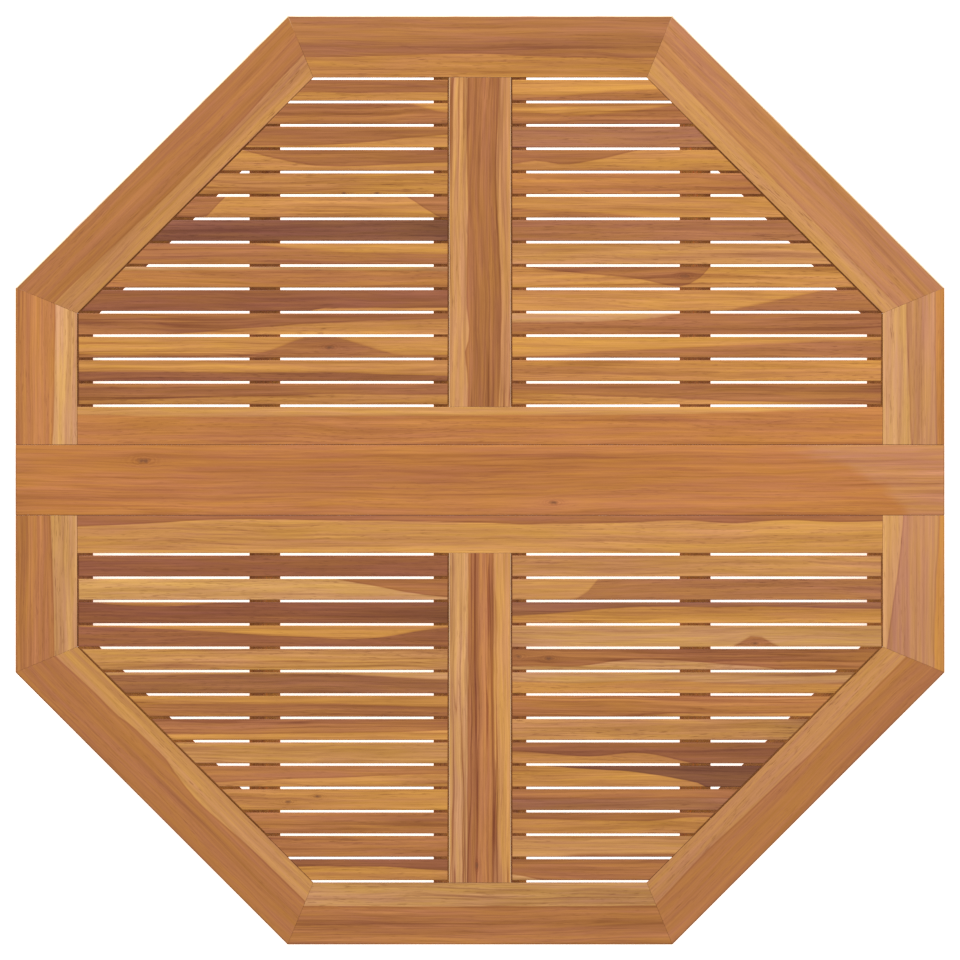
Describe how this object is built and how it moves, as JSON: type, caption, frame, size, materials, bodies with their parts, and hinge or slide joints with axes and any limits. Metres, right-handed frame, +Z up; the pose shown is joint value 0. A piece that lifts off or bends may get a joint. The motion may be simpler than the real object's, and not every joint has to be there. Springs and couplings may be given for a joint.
{
  "type": "folding garden table",
  "caption": "Octagonal slatted wooden garden table with a fixed centre plank, two drop leaves on hinges and a swinging gate leg to carry each leaf.",
  "frame": {"origin": "on the floor under the middle of the table", "axes": "+Z up, +X along the fixed centre plank, +Y across it towards the rear leaf"},
  "size_m": [1.2, 1.2, 0.75],
  "materials": {
    "teak_plank": "planed teak, satin, long straight streaks",
    "teak_frame": "planed teak, satin, brown heartwood with a tan sapwood band",
    "teak_slats": "planed teak, satin, tone varies from slat to slat",
    "teak_under": "planed teak, unpolished",
    "teak_base": "planed teak, satin",
    "stainless_steel": "brushed",
    "screw_steel": "brushed",
    "washer_brass": "plain",
    "pad_rubber": "matt",
    "glide_plastic": "matt"
  },
  "bodies": {
    "base": {"centre_plank": "teak_plank", "upper_rail": "teak_base", "lower_stretcher": "teak_base", "left_end_post": "teak_base", "right_end_post": "teak_base", "left_foot": "teak_base", "right_foot": "teak_base", "foot_pads": "pad_rubber", "plank_cleats": "teak_base", "upper_pivot_blocks": "teak_base", "lower_pivot_block": "teak_base", "pivot_pins": "stainless_steel", "pivot_washers": "washer_brass", "plank_hinge_plates": "stainless_steel", "hinge_pins": "stainless_steel", "plank_hinge_screws": "screw_steel", "base_screws": "screw_steel"},
    "rear_leaf": {"rear_outer_board": "teak_frame", "rear_left_diagonal": "teak_frame", "rear_right_diagonal": "teak_frame", "rear_left_end_board": "teak_frame", "rear_right_end_board": "teak_frame", "rear_inner_rail": "teak_frame", "rear_centre_stile": "teak_frame", "rear_battens": "teak_under", "rear_edge_ledgers": "teak_under", "rear_stile_ledgers": "teak_under", "rear_left_slats": "teak_slats", "rear_right_slats": "teak_slats", "rear_hinge_plates": "stainless_steel", "rear_hinge_screws": "screw_steel", "rear_slat_screws": "screw_steel", "rear_gate_stop": "teak_under"},
    "front_leaf": {"front_outer_board": "teak_frame", "front_left_diagonal": "teak_frame", "front_right_diagonal": "teak_frame", "front_left_end_board": "teak_frame", "front_right_end_board": "teak_frame", "front_inner_rail": "teak_frame", "front_centre_stile": "teak_frame", "front_battens": "teak_under", "front_edge_ledgers": "teak_under", "front_stile_ledgers": "teak_under", "front_left_slats": "teak_slats", "front_right_slats": "teak_slats", "front_hinge_plates": "stainless_steel", "front_hinge_screws": "screw_steel", "front_slat_screws": "screw_steel", "front_gate_stop": "teak_under"},
    "rear_gate": {"rear_gate_stile": "teak_base", "rear_gate_rail": "teak_base", "rear_gate_brace": "teak_base", "rear_gate_leg": "teak_base", "rear_gate_glide": "glide_plastic"},
    "front_gate": {"front_gate_stile": "teak_base", "front_gate_rail": "teak_base", "front_gate_brace": "teak_base", "front_gate_leg": "teak_base", "front_gate_glide": "glide_plastic"}
  },
  "joints": [
    {"name": "rear_leaf_fold", "type": "hinge", "parent": "base", "child": "rear_leaf", "pos_m": [0, 0.0455, 0.726], "axis": [1, 0, 0], "range_deg": [-90, 0]},
    {"name": "front_leaf_fold", "type": "hinge", "parent": "base", "child": "front_leaf", "pos_m": [0, -0.0455, 0.726], "axis": [-1, 0, 0], "range_deg": [-90, 0]},
    {"name": "rear_gate_swing", "type": "hinge", "parent": "base", "child": "rear_gate", "pos_m": [0, 0.03, 0.101], "axis": [0, 0, 1], "range_deg": [0, 90]},
    {"name": "front_gate_swing", "type": "hinge", "parent": "base", "child": "front_gate", "pos_m": [0, -0.03, 0.101], "axis": [0, 0, 1], "range_deg": [0, 90]}
  ]
}
